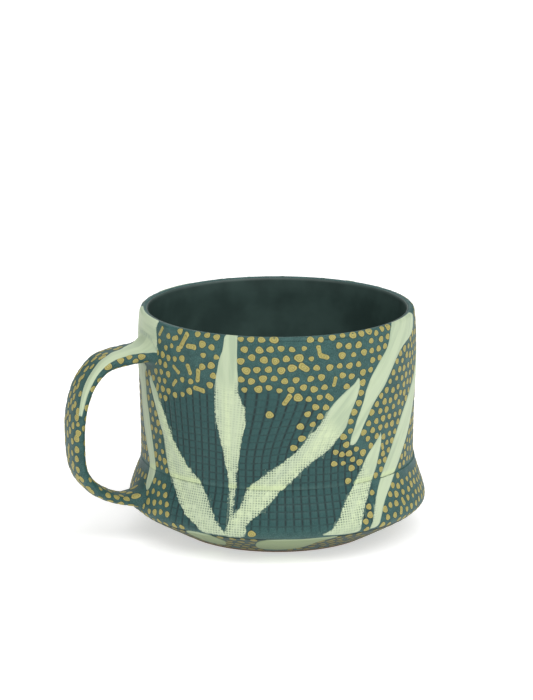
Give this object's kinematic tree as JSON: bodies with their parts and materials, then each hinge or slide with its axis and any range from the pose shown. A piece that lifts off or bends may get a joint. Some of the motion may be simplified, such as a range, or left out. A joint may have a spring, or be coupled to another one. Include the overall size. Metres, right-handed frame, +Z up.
{
  "type": "stoneware mug",
  "caption": "Slab-built stoneware mug with a flared skirt, a low foot, a strap handle, a dark glazed inside and brushed leaves in pale slip.",
  "frame": {"origin": "on the mug's axis, in the plane that the foot ring stands on", "axes": "+Z up along the mug's axis; the handle points along -X; the front spray of leaves faces 250 degrees round from +X"},
  "size_m": [0.1284, 0.1044, 0.079],
  "materials": {
    "teal_stoneware": "matt fired slip, teal, with a pressed net texture and khaki dots",
    "leaf_slip": "matt pale green slip, brushed on",
    "liner_glaze": "satin dark green glaze"
  },
  "bodies": {
    "root": {"upper_wall": "teal_stoneware", "flared_skirt": "teal_stoneware", "base_dish": "teal_stoneware", "foot_ring": "teal_stoneware", "liner_glaze": "liner_glaze", "handle_strap": "teal_stoneware", "handle_upper_weld": "teal_stoneware", "handle_lower_weld": "teal_stoneware", "leaf_centre": "leaf_slip", "leaf_left": "leaf_slip", "leaf_right": "leaf_slip", "leaf_rim": "leaf_slip", "leaf_low_right": "leaf_slip", "leaf_far_right": "leaf_slip", "leaf_by_handle": "leaf_slip", "leaf_handle_root": "leaf_slip", "leaf_on_handle": "leaf_slip", "leaf_under_left": "leaf_slip", "leaf_under_front": "leaf_slip", "leaf_back_centre": "leaf_slip", "leaf_back_left": "leaf_slip", "leaf_back_right": "leaf_slip", "leaf_back_rim": "leaf_slip", "leaf_back_low": "leaf_slip"}
  },
  "joints": []
}
